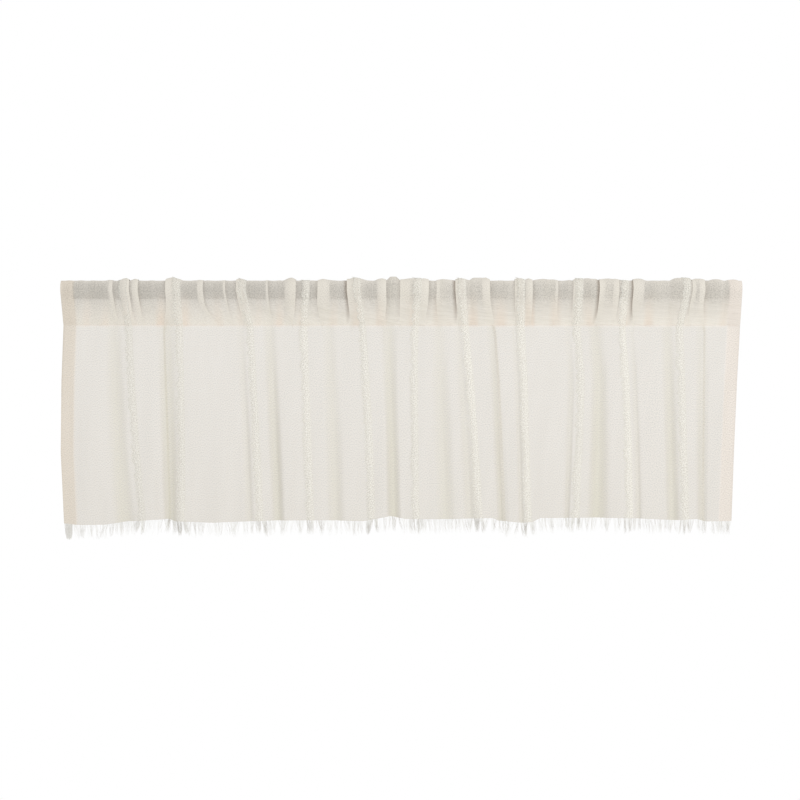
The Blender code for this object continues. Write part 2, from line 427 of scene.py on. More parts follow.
def run_x(places, z):
    """x at height z of the lines that cross the rod at these places.
    Strips and side hems keep their width."""
    heights = np.array(LEVELS)[::-1]
    on_rod = []
    at_z = []
    for name, run in RUNS.items():
        insets = (-STRIP_WIDTH / 2, STRIP_WIDTH / 2)
        if name == "left edge":
            insets = (0.0, SIDE_HEM)
        elif name == "right edge":
            insets = (-SIDE_HEM, 0.0)
        for inset in insets:
            on_rod.append(run[0] + inset)
            at_z.append(np.interp(z, heights, run[::-1]) + inset)
    return np.interp(places, on_rod, at_z)


def hem_z(x):
    """z of the bottom edge."""
    return np.interp(x, [row[0] for row in HEM], [row[1] for row in HEM])


def opening(z):
    rows = OPENING[::-1]
    return float(np.interp(z, [row[0] for row in rows], [row[1] for row in rows]))


def tuck_opened(z):
    """0 where the tucks are pressed on the rod, 1 where they have opened out."""
    return float(smooth((TUCK_CLOSED_Z - z) / (TUCK_CLOSED_Z - TUCK_OPEN_Z)))


def ripple(x, z, size, seed):
    """A smooth uneven wave between about -1 and 1, with crests about size apart."""
    draw = random.Random(seed)
    waves = 5
    usual_crest = 2.6
    total = np.zeros(np.broadcast(x, z).shape)
    for _ in range(waves):
        turn = draw.uniform(-0.35, 0.35)
        rate = 2 * math.pi / (size * draw.uniform(0.7, 1.5))
        total = total + np.sin(rate * (x * math.cos(turn) + z * math.sin(turn)) + draw.uniform(0, 6.3))
    return total / usual_crest


def strip_places():
    return [run[0] for name, run in RUNS.items() if name.startswith("strip")]


class Columns:
    """The sheet's columns of points, left to right, by their place on the rod."""

    def __init__(self):
        self.place = []
        self.inset = []
        self.depth = []
        self.tuck = []
        self.turn = []
        self.strip_starts = []
        left = RUNS["left edge"][0]
        right = RUNS["right edge"][0]
        hidden = np.linspace(SIDE_HEM, 0.0, 6)
        for inset in hidden:
            self.add(left + inset, 0.0, LAYER * 1.6)
        self.add(left, -LAYER * 0.5, LAYER * 0.8)
        for inset in hidden[::-1]:
            self.add(left + inset, 0.0, 0.0)
        reached = left + SIDE_HEM
        for start, end, kind, which in self.stops():
            self.span(reached, start)
            if kind == "strip":
                self.strip_starts.append(len(self.place))
                for side in (-0.5, 0.0, 0.5):
                    self.add(which + side * STRIP_WIDTH, 0.0, 0.0)
            else:
                for i in range(LAP_POINTS):
                    self.add(TUCKS[which][0], 0.0, 0.0, which, i / (LAP_POINTS - 1))
            reached = end
        self.span(reached, right - SIDE_HEM)
        for inset in hidden:
            self.add(right - inset, 0.0, 0.0)
        self.add(right, LAYER * 0.5, LAYER * 0.8)
        for inset in hidden[::-1]:
            self.add(right - inset, 0.0, LAYER * 1.6)
        for name in ("place", "inset", "depth", "tuck", "turn"):
            setattr(self, name, np.array(getattr(self, name)))

    def add(self, place, inset, depth, tuck=-1, turn=0.0):
        self.place.append(float(place))
        self.inset.append(float(inset))
        self.depth.append(float(depth))
        self.tuck.append(tuck)
        self.turn.append(turn)

    def stops(self):
        """Where the tucks and strips start and end, in order."""
        found = []
        for place in strip_places():
            found.append((place - STRIP_WIDTH / 2, place + STRIP_WIDTH / 2, "strip", place))
        for i, tuck in enumerate(TUCKS):
            found.append((tuck[0] - LAP_OPEN_HALF, tuck[0] + LAP_OPEN_HALF, "tuck", i))
        return sorted(found)

    def span(self, start, end):
        """Even columns between two stops, without their ends."""
        count = max(1, math.ceil((end - start) / SPAN_SPACING))
        for i in range(1, count):
            self.add(mix(start, end, i / count), 0.0, 0.0)


COLUMNS = Columns()


def puff_shares():
    """For each column, how far its cloth stands off the rod, how far it keeps doing so lower down, how much
    it is bunched on the rod, and how much painted shadow it gets there from a tuck's crack."""
    place = COLUMNS.place
    on_rod = np.zeros(len(place))
    below = np.zeros(len(place))
    wave = ripple(place, 0.0, PLAIN_WAVE_SIZE, PLAIN_SEED)
    bunched = np.interp(place, PLAIN_PLACES, PLAIN_BUNCH) * (1 + PLAIN_WAVE * wave)
    crack_shadow = np.zeros(len(place))
    for spot, width, height in PUFFS:
        off = np.clip(np.abs(place - spot) / (width / 2), 0, 1)
        on_rod = np.maximum(on_rod, height * (1 - off ** 3))
        bunched = np.maximum(bunched, PUFF_BUNCH * height / FULL_TUCK * (1 - off ** 3))
    for i, (edge, _below, side, width, height, _lap, lap_at_hem) in enumerate(TUCKS):
        away = (edge - place) * side / width
        risen = mix(EDGE_PUFF, 1.0, smooth(away / EDGE_RISE))
        share = np.where((away > 0) & (away < 1), risen * (1 - np.clip(away, 0, 1) ** 3), 0.0)
        inside = COLUMNS.tuck == i
        under = COLUMNS.turn if side > 0 else 1 - COLUMNS.turn
        share = np.where(inside, EDGE_PUFF * (1 - smooth(under)), share)
        on_rod = np.where(inside, height * share, np.maximum(on_rod, height * share))
        # The cloth crowds most along the tuck's edge, and the rod shows again towards the puff's end
        fading = (1 - np.clip(away, 0, 1) ** 3) * mix(1.0, (1 - np.clip(away, 0, 1)) ** 2, 0.5)
        near = np.where((away > 0) & (away < 1), fading, 0.0)
        # Across the lap, the first half is fully bunched, and the last third gets the crack's painted
        # shadow
        near = np.where(inside, np.clip(2 - 2 * smooth(under), 0, 1), near)
        bunched = np.maximum(bunched, min(1.0, LEAST_TUCK_BUNCH + height / FULL_TUCK) * near)
        # Share of the painted crack shadow: full in the listed cracks, less in the others
        dark = 1.0 if edge in SHADOWED_CRACK_TUCKS else PLAIN_CRACK_SHADOW
        crack_shadow = np.maximum(crack_shadow, np.where(inside, dark * smooth(3 * under - 2), 0.0))
        if lap_at_hem:
            below = np.maximum(below, share)
    return on_rod, below, bunched, crack_shadow


LIFT_ON_ROD, LIFT_BELOW, BUNCHED_ON_ROD, CRACK_SHADOW_ON_ROD = puff_shares()


def fold_depth(place):
    """How far back the hanging folds go at the hem."""
    back = np.zeros(len(place))
    for spot, width, depth in FOLDS:
        off = np.clip(np.abs(place - spot) / (width / 2), 0, 1)
        back = np.maximum(back, depth * 0.5 * (1 + np.cos(math.pi * off)))
    return back


def fold_back(place):
    """How far the hem lies behind the front of the cloth, as in the CAD."""
    back = fold_depth(place) - FRONT_OUT
    for depth, size, start in SWAYS:
        back = back + depth * np.sin(place / size + start)
    return back


def tinted(tint, towards, share):
    """The tint of each point, moved towards another by its share."""
    return mix(tint, np.array(towards), np.clip(share, 0.0, 1.0)[:, None])


def tint_at(x, z, in_fold, in_heading):
    """The gauze's tint at the points of one row: its own colour, with painted light and painted shadow."""
    tint = tinted(np.ones((len(x), 3)), FOLD_TINT, in_fold)
    if in_heading:
        down = np.full(len(x), np.clip(z / SEAM_Z, 0.0, 1.0))
        # Painted light: the heading grows lighter towards its stitching, against the pocket's shade, and
        # lighter still towards its right end
        along = np.clip((x - cad_box[0][0] / MM) / ((cad_box[1][0] - cad_box[0][0]) / MM), 0.0, 1.0)
        heading_light = mix(np.array(HEADING_PAINTED_LIGHT_LEFT), np.array(HEADING_PAINTED_LIGHT_RIGHT), along[:, None])
        tint = tinted(tint, heading_light, down ** 2)
        patches = ripple(x, z * PEACH_STRETCH, PEACH_SIZE, PEACH_SEED)
        tint = tinted(tint, PEACH_TINT, PEACH_SHARE * down * patches)
        # Painted highlight on the bunched ridges, weaker towards the stitching
        tint = tinted(tint, RIDGE_PAINTED_LIGHT, BUNCHED_ON_ROD * (1 - RIDGE_FADE * down))
        # Painted shadow in the tucks' cracks, fading towards the stitching
        tint = tinted(tint, CRACK_PAINTED_SHADOW, CRACK_SHADOW_ON_ROD * (1 - down ** 2))
    left = RUNS["left edge"][0] + SIDE_HEM
    right = RUNS["right edge"][0] - SIDE_HEM
    tint = tinted(tint, LEFT_HEM_TINT, (COLUMNS.place <= left) * 1.0)
    # Painted light: the right side hem is made lighter
    return tinted(tint, RIGHT_HEM_PAINTED_LIGHT, (COLUMNS.place >= right) * 1.0)


def plan(z):
    """The cloth seen from above at one height: x, how far back it lies, how far its tucks lift it, how many
    layers more its bunching is worth, and how far it is in a hanging fold."""
    opened = tuck_opened(z)
    fixed = [RUNS["left edge"][0], RUNS["left edge"][0] + SIDE_HEM]
    for place in strip_places():
        fixed += [place - STRIP_WIDTH / 2, place + STRIP_WIDTH / 2]
    fixed += [RUNS["right edge"][0] - SIDE_HEM, RUNS["right edge"][0]]
    edges = [tuck[0] for tuck in TUCKS] + fixed
    moved = [mix(tuck[0], tuck[1], opened) for tuck in TUCKS] + fixed
    order = np.argsort(edges)
    place = np.interp(COLUMNS.place, np.array(edges)[order], np.array(moved)[order])
    lapped = np.zeros(len(place))
    for i, (_edge, _below, side, _width, _height, lap, lap_at_hem) in enumerate(TUCKS):
        inside = COLUMNS.tuck == i
        turn = COLUMNS.turn[inside]
        if not lap_at_hem:
            place[inside] += LAP_OPEN_HALF * opened * LAP_SPREAD * (2 * turn - 1)
        lapped[inside] = side * mix(lap, lap_at_hem, opened) * np.sin(math.pi * turn) ** 2
    x = run_x(place, z) + COLUMNS.inset - lapped
    y = fold_back(place) * opening(z) + COLUMNS.depth
    lift = mix(LIFT_ON_ROD, LIFT_BELOW, opened)
    in_fold = opening(z) ** 0.5 * fold_depth(place) / max(row[2] for row in FOLDS)
    hanging = FOLD_BUNCH * in_fold + HEM_BUNCH * np.clip((z - SEAM_Z) / (LEVELS[-1] - SEAM_Z), 0, 1) ** 2
    bunch = mix(TUCK_BUNCH * BUNCHED_ON_ROD, hanging, opened)
    return x, y, lift, bunch, in_fold


def section_rows():
    """The section of cloth and pocket. A row is (height for the plan, base y, base z or None, out y, out z,
    share). Below the stitching the base z is None, and the share runs from the stitching to the hem."""
    rows = []
    for i in range(STITCH_ROW + 1):
        share = 1.0 - i / STITCH_ROW
        rows.append((mix(SEAM_Z, LEVELS[-1], share), 0.0, None, -1.0, 0.0, share))
    tangent_y = -POCKET_RADIUS * math.sin(ARC_END)
    tangent_z = POCKET_RADIUS * math.cos(ARC_END)
    slope = math.hypot(tangent_y, tangent_z - SEAM_Z)
    out = ((tangent_z - SEAM_Z) / slope, -tangent_y / slope)
    for i in range(1, SLOPE_ROWS + 1):
        share = i / (SLOPE_ROWS + 1)
        base = (mix(-STITCH_HALF, tangent_y, share), mix(SEAM_Z, tangent_z, share))
        rows.append((base[1], base[0], base[1], -out[0], -out[1], 1.0))
    for i in range(ARC_ROWS):
        turn = mix(-ARC_END, ARC_END, i / (ARC_ROWS - 1))
        way = (math.sin(turn), math.cos(turn))
        base = (POCKET_RADIUS * way[0], POCKET_RADIUS * way[1])
        rows.append((min(0.0, base[1]), base[0], base[1], way[0], way[1], 1.0))
    for i in range(SLOPE_ROWS, -1, -1):
        share = i / (SLOPE_ROWS + 1)
        base = (mix(STITCH_HALF, -tangent_y, share), mix(SEAM_Z, tangent_z, share))
        rows.append((base[1], base[0], base[1], out[0], -out[1], 1.0 if i else 0.0))
    return rows


ROWS = section_rows()


def crinkle(x, z):
    """Small uneven wrinkles: gathers that die out below the stitching, and a soft broad cockle."""
    below = np.clip((SEAM_Z - z) / GATHER_DROP, 0, 1)
    gathers = ripple(x, z * GATHER_STRETCH, GATHER_SIZE, GATHER_SEED) * (1 - below) * GATHER_HEIGHT
    full = np.clip((SEAM_Z - z) / COCKLE_DROP, 0, 1)
    broad = ripple(x, z * COCKLE_STRETCH, COCKLE_SIZE, COCKLE_SEED) * COCKLE_HEIGHT * full
    return gathers + broad


def cloth_grid():
    """Points of the sheet as array of row, column and x y z, each point's place on the flat cloth, and how
    bunched the gauze is there and its tint, which holds its colour with painted light and shade."""
    points = []
    flat = []
    bunched = []
    tints = []
    length = 0.0
    for z, base_y, base_z, out_y, out_z, share in ROWS:
        x, y, lift, bunch, in_fold = plan(z)
        bunched.append(bunch)
        tints.append(tint_at(x, z, in_fold, z >= SEAM_Z))
        row = np.zeros((len(x), 3))
        row[:, 0] = x
        if base_z is None:
            height = SEAM_Z + share * (hem_z(x) - SEAM_Z)
            row[:, 1] = y - lift - crinkle(x, height)
            row[:, 2] = height
        else:
            # The back of the pocket hangs plainer than its front
            front = base_y < POCKET_FRONT_END
            rise = lift if front else BACK_LIFT * lift
            slack = POCKET_SLACK * min(1.0, abs(base_y) / POCKET_RADIUS + TOP_SLACK)
            gathers = crinkle(x, base_z) if front else BACK_GATHERS * crinkle(x, base_z)
            lifted = np.maximum(slack * share + rise - COLUMNS.depth + gathers, LEAST_ROOM)
            row[:, 1] = base_y + out_y * lifted + y - COLUMNS.depth
            row[:, 2] = base_z + out_z * lifted
        across = np.concatenate([[0.0], np.cumsum(np.hypot(np.diff(x), np.diff(y - lift)))])
        if points:
            length += float(np.median(np.linalg.norm(row - points[-1], axis=1)))
        points.append(row)
        flat.append(np.stack([across, np.full(len(x), length), np.zeros(len(x))], axis=1))
    return np.array(points), np.array(flat), np.array(bunched), np.array(tints)


def link(name, mesh, material):
    mesh.materials.append(material)
    obj = bpy.data.objects.new(name, mesh)
    bpy.context.scene.collection.objects.link(obj)
    return obj


def mesh_of(name, points, faces, smooth_faces=True):
    mesh = bpy.data.meshes.new(name)
    mesh.from_pydata((np.asarray(points) * MM).tolist(), [], faces)
    mesh.polygons.foreach_set("use_smooth", [smooth_faces] * len(mesh.polygons))
    mesh.update()
    return mesh


def store_flat(mesh, flat):
    """Keeps each point's place on the flat cloth, in metres, for the weave to follow."""
    layer = mesh.attributes.new("flat_place", "FLOAT_VECTOR", "POINT")
    layer.data.foreach_set("vector", (np.asarray(flat) * MM).ravel())


def store_tint(mesh, tints):
    layer = mesh.attributes.new("tint", "FLOAT_VECTOR", "POINT")
    layer.data.foreach_set("vector", tints.ravel())


def store_cover(mesh, bunched):
    layer = mesh.attributes.new("cover", "FLOAT", "POINT")
    layer.data.foreach_set("value", cover_of(mesh, bunched).ravel())


def cover_of(mesh, bunched):
    """How closed the weave looks from the room: its threads crowd where the cloth turns away or bunches."""
    rows, columns = bunched.shape
    normals = np.empty(3 * len(mesh.polygons))
    mesh.polygons.foreach_get("normal", normals)
    towards = np.abs(normals.reshape(rows - 1, columns - 1, 3)[:, :, 1])
    around = np.pad(towards, 1, mode="edge")
    facing = (around[:-1, :-1] + around[1:, :-1] + around[:-1, 1:] + around[1:, 1:]) / 4
    return 1.0 - (1.0 - GAUZE_COVER) ** ((1.0 + bunched) / np.clip(facing, LEAST_FACING, 1.0))


def grid_faces(rows, columns):
    faces = []
    for r in range(rows - 1):
        for c in range(columns - 1):
            a = r * columns + c
            faces.append((a, a + 1, a + columns + 1, a + columns))
    return faces


def tube(points, radius, first):
    """A thin three-sided thread along these points, thinning to its tip."""
    points = np.asarray(points)
    made = []
    faces = []
    for i, point in enumerate(points):
        after = points[min(i + 1, len(points) - 1)]
        before = points[max(i - 1, 0)]
        along = after - before
        along /= np.linalg.norm(along)
        side = np.cross(along, OFF_THREAD)
        side /= np.linalg.norm(side)
        other = np.cross(along, side)
        thin = radius * (1.0 - TIP_THINNING * i / (len(points) - 1))
        for k in range(3):
            turn = 2 * math.pi * k / 3
            made.append(point + thin * (math.cos(turn) * side + math.sin(turn) * other))
    for i in range(len(points) - 1):
        for k in range(3):
            a = first + 3 * i + k
            b = first + 3 * i + (k + 1) % 3
            faces.append((a, b, b + 3, a + 3))
    last = first + 3 * (len(points) - 1)
    faces.append((first + 2, first + 1, first))
    faces.append((last, last + 1, last + 2))
    return made, faces


class Threads:
    """Collects thin threads into one mesh."""

    def __init__(self):
        self.points = []
        self.faces = []

    def add(self, line, radius):
        made, faces = tube(line, radius, len(self.points))
        self.points += made
        self.faces += faces


def node(tree, kind, place, **inputs):
    made = tree.nodes.new(kind)
    made.location = place
    for name, value in inputs.items():
        made.inputs[name.replace("_", " ")].default_value = value
    return made


def stretched_noise(tree, coords, scale, place, detail=3.0):
    """Noise stretched along one direction of the cloth, as uneven threads are."""
    mapping = node(tree, "ShaderNodeMapping", place, Scale=scale)
    noise = node(tree, "ShaderNodeTexNoise", (place[0] + 200, place[1]), Scale=1.0, Detail=detail)
    tree.links.new(coords, mapping.inputs["Vector"])
    tree.links.new(mapping.outputs["Vector"], noise.inputs["Vector"])
    return noise.outputs["Fac"]


def ranged(tree, value, low, high, place, clip=(0.3, 0.7)):
    """The value, spread from the clip range to low and high."""
    made = node(tree, "ShaderNodeMapRange", place)
    made.inputs["From Min"].default_value = clip[0]
    made.inputs["From Max"].default_value = clip[1]
    made.inputs["To Min"].default_value = low
    made.inputs["To Max"].default_value = high
    tree.links.new(value, made.inputs["Value"])
    return made.outputs["Result"]


def combined(tree, first, second, place, operation="ADD"):
    made = node(tree, "ShaderNodeMath", place)
    made.operation = operation
    tree.links.new(first, made.inputs[0])
    tree.links.new(second, made.inputs[1])
    return made.outputs["Value"]


def let_light_through(tree, shader, cover, shade):
    """Gauze hides what lies behind it more than it shades it, because its threads scatter light onwards."""
    ray = node(tree, "ShaderNodeLightPath", (-900, -600))
    of_light = combined(
        tree, ray.outputs["Is Shadow Ray"], ray.outputs["Is Diffuse Ray"], (-700, -600), "MAXIMUM"
    )
    kept = ranged(tree, of_light, 1.0, shade, (-500, -600), (0.0, 1.0))
    tree.links.new(combined(tree, cover, kept, (-300, -500), "MULTIPLY"), shader.inputs["Alpha"])


def new_material(name, roughness):
    material = bpy.data.materials.new(name)
    material.use_nodes = True
    shader = material.node_tree.nodes["Principled BSDF"]
    shader.inputs["Roughness"].default_value = roughness
    return material, material.node_tree, shader


def coloured(tree, shader, value, dark, light, place, tint=None):
    """Base colour between dark and light by the value, times the mesh's tint of this name."""
    ramp = node(tree, "ShaderNodeValToRGB", place)
    ramp.color_ramp.elements[0].position = 0.3
    ramp.color_ramp.elements[0].color = (*dark, 1.0)
    ramp.color_ramp.elements[1].position = 0.7
    ramp.color_ramp.elements[1].color = (*light, 1.0)
    tree.links.new(value, ramp.inputs["Fac"])
    tone = ramp.outputs["Color"]
    if tint:
        kept = node(tree, "ShaderNodeAttribute", (place[0] - 200, place[1] + 200))
        kept.attribute_name = tint
        product = node(tree, "ShaderNodeVectorMath", (place[0] + 200, place[1] + 200))
        product.operation = "MULTIPLY"
        tree.links.new(tone, product.inputs[0])
        tree.links.new(kept.outputs["Vector"], product.inputs[1])
        tone = product.outputs["Vector"]
    tree.links.new(tone, shader.inputs["Base Color"])


def bumped(tree, shader, value, strength, distance, place):
    bump = node(tree, "ShaderNodeBump", place, Strength=strength, Distance=distance)
    tree.links.new(value, bump.inputs["Height"])
    tree.links.new(bump.outputs["Normal"], shader.inputs["Normal"])


def gauze_material():
    """Open cotton gauze: a fine uneven speckle of threads, closed to about three quarters."""
    material, tree, shader = new_material("gauze", 0.92)
    shader.inputs["Specular IOR Level"].default_value = 0.12
    place = node(tree, "ShaderNodeAttribute", (-1400, 0))
    place.attribute_name = "flat_place"
    coords = place.outputs["Vector"]
    closed = node(tree, "ShaderNodeAttribute", (-700, -300))
    closed.attribute_name = "cover"
    speckle = stretched_noise(tree, coords, (520, 520, 1), (-1200, 600), 1.0)
    warp = stretched_noise(tree, coords, (330, 14, 1), (-1200, 300))
    weft = stretched_noise(tree, coords, (14, 330, 1), (-1200, 0))
    blotch = stretched_noise(tree, coords, (38, 5, 1), (-1200, -300))
    lines = combined(
        tree,
        ranged(tree, warp, -LINE_COVER, LINE_COVER, (-700, 300)),
        ranged(tree, weft, -LINE_COVER, LINE_COVER, (-700, 0)),
        (-500, 200),
    )
    specks = ranged(tree, speckle, -SPECKLE_COVER, SPECKLE_COVER, (-700, 600))
    threads = combined(tree, lines, specks, (-400, 300))
    blotches = ranged(tree, blotch, -BLOTCH_COVER, BLOTCH_COVER, (-500, -400))
    uneven = combined(tree, threads, blotches, (-300, -200))
    cover = combined(tree, uneven, closed.outputs["Fac"], (-500, -200))
    let_light_through(tree, shader, cover, GAUZE_SHADE)
    coloured(tree, shader, blotch, GAUZE_DARK, GAUZE_LIGHT, (-300, 400), "tint")
    bumped(tree, shader, threads, 0.03, 0.0005, (-100, -200))
    return material


def strip_material():
    """Cream cotton strip, closer than the gauze, with a knotty face."""
    material, tree, shader = new_material("frayed_cotton", 0.95)
    shader.inputs["Specular IOR Level"].default_value = 0.1
    place = node(tree, "ShaderNodeAttribute", (-1400, 0))
    place.attribute_name = "flat_place"
    coords = place.outputs["Vector"]
    knots = stretched_noise(tree, coords, (460, 420, 1), (-1200, 300))
    lines = stretched_noise(tree, coords, (1200, 30, 1), (-1200, 0))
    both = combined(tree, knots, lines, (-700, 200))
    cover = ranged(tree, both, 0.35, 0.85, (-700, -100), (0.8, 1.2))
    let_light_through(tree, shader, cover, GAUZE_SHADE)
    coloured(tree, shader, knots, STRIP_DARK, STRIP_PALE, (-300, 400), "tint")
    bumped(tree, shader, both, 0.45, 0.0008, (-100, -200))
    return material


def thread_material(name, dark, light):
    material, tree, shader = new_material(name, 0.95)
    shader.inputs["Specular IOR Level"].default_value = 0.1
    coords = node(tree, "ShaderNodeTexCoord", (-1200, 0)).outputs["Object"]
    tone = stretched_noise(tree, coords, (140, 140, 60), (-1000, 0))
    twist = stretched_noise(tree, coords, (1500, 1500, 900), (-1000, -300))
    coloured(tree, shader, tone, dark, light, (-500, 200))
    bumped(tree, shader, twist, 0.3, 0.0002, (-400, -200))
    return material


def rod_material():
    """Satin grey metal, brushed along its length."""
    material, tree, shader = new_material("rod_metal", 0.42)
    shader.inputs["Metallic"].default_value = 0.7
    coords = node(tree, "ShaderNodeTexCoord", (-1200, 0)).outputs["Object"]
    brush = stretched_noise(tree, coords, (12, 900, 900), (-1000, 0))
    coloured(tree, shader, brush, ROD_DARK, ROD_PALE, (-500, 200))
    tree.links.new(ranged(tree, brush, 0.38, 0.55, (-500, -100)), shader.inputs["Roughness"])
    bumped(tree, shader, brush, 0.15, 0.0002, (-400, -300))
    return material


def make_panel(grid, flat, bunched, tints, material):
    rows, columns = grid.shape[:2]
    mesh = mesh_of("valance_gauze", grid.reshape(-1, 3), grid_faces(rows, columns))
    mesh.set_sharp_from_angle(angle=CREASE)
    store_flat(mesh, flat.reshape(-1, 3))
    store_cover(mesh, bunched)
    store_tint(mesh, tints)
    panel = link("valance_gauze", mesh, material)
    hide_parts("valance_panel")
    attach(panel, "root")
    return panel


def strip_rows(grid, column):
    """Left, middle and right points of the cloth under a strip, from the hem over the rod."""
    return grid[:-(SLOPE_ROWS - 1), column:column + 3]


def outward(rows):
    """Which way is out at each row of a strip."""
    along = np.gradient(rows[:, 1], axis=0)
    across = rows[:, 2] - rows[:, 0]
    out = np.cross(across, along)
    return out / np.linalg.norm(out, axis=1)[:, None]


def soft_random(draw, count, spread):
    """Random numbers around 0 that change gradually over about this many steps."""
    raw = np.array([draw.gauss(0, 1) for _ in range(count)])
    window = np.hanning(spread + 2)[1:-1]
    return np.convolve(raw, window / np.sqrt((window ** 2).sum()), "same")


def make_strip(number, grid, column, material, thread):
    """One frayed strip: a ribbon with a ragged left edge, and the loose ends that stand from it."""
    draw = random.Random(STRIP_SEED + number)
    under = strip_rows(grid, column)
    out = outward(under)
    # Finer rows than the cloth's, with the last one, so that the edge can be ragged
    at = np.arange(0, len(under) - 1 + 1e-6, 1 / STRIP_FINENESS)
    steps = np.arange(len(under))
    left, right, way = (
        np.stack([np.interp(at, steps, line[:, k]) for k in range(3)], axis=1)
        for line in (under[:, 0], under[:, 2], out)
    )
    across = right - left
    ragged = RAGGED_SHORT[0] * soft_random(draw, len(at), RAGGED_SHORT[1])
    ragged = ragged + RAGGED_LONG[0] * soft_random(draw, len(at), RAGGED_LONG[1])
    start = np.clip(RAGGED_MIDDLE + ragged, *RAGGED_LIMITS)
    high = STRIP_THICK + STRIP_KNOTS * np.abs(soft_random(draw, len(at), RAGGED_SHORT[1]))
    lines = []
    for share, lift in STRIP_SECTION:
        spot = start + (EVEN_EDGE - start) * share
        lines.append(left + across * spot[:, None] + way * (STRIP_OFF + lift * high)[:, None])
    points = np.stack(lines, axis=1)
    rows, columns = points.shape[:2]
    flat = np.zeros((rows, columns, 3))
    flat[:, :, 0] = number * 40 + np.linspace(0, STRIP_WIDTH, columns)
    flat[:, :, 1] = (at * ROW_SPACING)[:, None]
    name = f"frayed_strip_cloth_{number:02d}"
    mesh = mesh_of(name, points.reshape(-1, 3), grid_faces(rows, columns))
    store_flat(mesh, flat.reshape(-1, 3))
    # Painted shade at the strip's ragged left edge and a painted highlight towards its right, times the
    # strip's painted lightness
    tints = STRIP_PAINTED_LIGHT[number - 1] * np.array(STRIP_SHADE_AND_HIGHLIGHT)
    store_tint(mesh, np.ones((rows, columns, 3)) * tints[None, :, None])
    ribbon = link(name, mesh, material)
    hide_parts(f"frayed_strip_{number:02d}")
    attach(ribbon, "root")
    threads = Threads()
    for i in range(len(at) - 1):
        for _ in range(LOOSE_ENDS):
            share = draw.uniform(0, 1)
            root = mix(left[i], left[i + 1], share)
            side = across[i] / np.linalg.norm(across[i])
            down = left[i] - left[i + 1]
            down /= np.linalg.norm(down)
            on_edge = draw.random() < ENDS_ON_EDGE
            inward = EDGE_ROOT if on_edge else draw.uniform(*FACE_ROOT)
            root = root + across[i] * (start[i] + inward)
            root = root + way[i] * ROOT_OFF
            reach = draw.uniform(*(EDGE_REACH if on_edge else FACE_REACH))
            lean = draw.uniform(*END_LEAN)
            tip = root - side * reach * draw.uniform(0.4, 1.0) + down * reach * lean
            tip = tip + way[i] * draw.uniform(0.1, 0.7)
            middle = (root + tip) / 2 + way[i] * draw.uniform(0.1, 0.5) + down * draw.uniform(-0.5, 0.5)
            threads.add([root, middle, tip], draw.uniform(*END_RADIUS))
    name = f"frayed_strip_ends_{number:02d}"
    ends = link(name, mesh_of(name, threads.points, threads.faces, False), thread)
    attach(ends, "root")
    return ribbon, ends


def make_fringe(grid, material):
    """Loose threads that hang from the bottom edge in uneven clumps."""
    draw = random.Random(FRINGE_SEED)
    edge = grid[0]
    along = np.concatenate([[0.0], np.cumsum(np.linalg.norm(np.diff(edge, axis=0), axis=1))])
    strips = run_x(strip_places(), LEVELS[-1])
    threads = Threads()

    def hang(spot, lean, length, radius, curl):
        """One thread from this spot along the edge, its tip moved sideways by lean and curled."""
        root = np.array([np.interp(spot, along, edge[:, k]) for k in range(3)])
        phase = draw.uniform(0, 6.3)
        line = []
        for share in (0.0, 0.22, 0.45, 0.7, 1.0):
            wave = curl * share * math.sin(phase + 5.0 * share)
            away = 0.5 + 0.5 * curl * share * math.cos(phase + 4.0 * share)
            line.append(root + np.array([lean * share + wave, away, 1.0 - (length + 1.0) * share]))
        threads.add(line, radius)

    tassel_start = SIDE_HEM + TASSEL_INSET
    spot = tassel_start + TASSEL_WIDTH
    while spot < along[-1]:
        # A clump hangs together and leans one way
        clump = draw.uniform(*CLUMP_WIDTH)
        lean = draw.gauss(0, CLUMP_LEAN)
        length = FRINGE_LENGTH * draw.uniform(*CLUMP_LENGTH)
        x = np.interp(spot + clump / 2, along, edge[:, 0])
        near_strip = min(abs(x - strip) for strip in strips) < NEAR_STRIP
        per_mm = draw.uniform(*(DENSITY_BELOW_STRIP if near_strip else FRINGE_DENSITY))
        thick = THICKNESS_BELOW_STRIP if near_strip else draw.uniform(*FRINGE_THICKNESS)
        for _ in range(round(clump * per_mm)):
            share = draw.random()
            towards = lean + (0.5 - share) * clump * draw.uniform(0.2, 0.8)
            own = length * draw.uniform(*OWN_LENGTH)
            radius = thick * draw.uniform(*FRINGE_RADIUS)
            hang(spot + clump * share, towards, own, radius, draw.uniform(*FRINGE_CURL))
        spot += clump
    # The tassel is rounded at its end
    for _ in range(TASSEL_THREADS):
        share = draw.random()
        across = 2 * share - 1
        length = TASSEL_LENGTH * (1 - TASSEL_ROUNDING * across ** 4) * draw.uniform(*TASSEL_EVENNESS)
        radius = draw.uniform(*TASSEL_RADIUS)
        hang(tassel_start + TASSEL_WIDTH * share, 0.5 - across, length, radius, TASSEL_CURL)
    name = "hem_fringe_threads"
    fringe = link(name, mesh_of(name, threads.points, threads.faces, False), material)
    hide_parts("hem_fringe")
    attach(fringe, "root")
    return fringe


def make_stitches(grid, material):
    """The row of stitches that closes the pocket, along the front of the cloth."""
    row = grid[STITCH_ROW]
    # Where the cloth laps back on itself, only its onward points count
    least_step = 0.05
    ahead = np.maximum.accumulate(row[:, 0])
    kept = row[np.concatenate([[True], np.diff(ahead) > least_step])]
    spots = np.arange(kept[0, 0] + STITCH_INSET, kept[-1, 0] - STITCH_INSET, STITCH_LENGTH / 2)
    y = np.interp(spots, kept[:, 0], kept[:, 1])
    above = np.where(np.arange(len(spots)) % 2 == 0, STITCH_MIDDLE_OFF, STITCH_ENDS_OFF)
    line = np.stack([spots, y - above, np.full(len(spots), SEAM_Z)], axis=1)
    threads = Threads()
    for first in range(1, len(line) - 2, 2):
        threads.add(line[first:first + 3], STITCH_RADIUS)
    name = "pocket_stitches"
    stitches = link(name, mesh_of(name, threads.points, threads.faces, False), material)
    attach(stitches, "root")
    return stitches


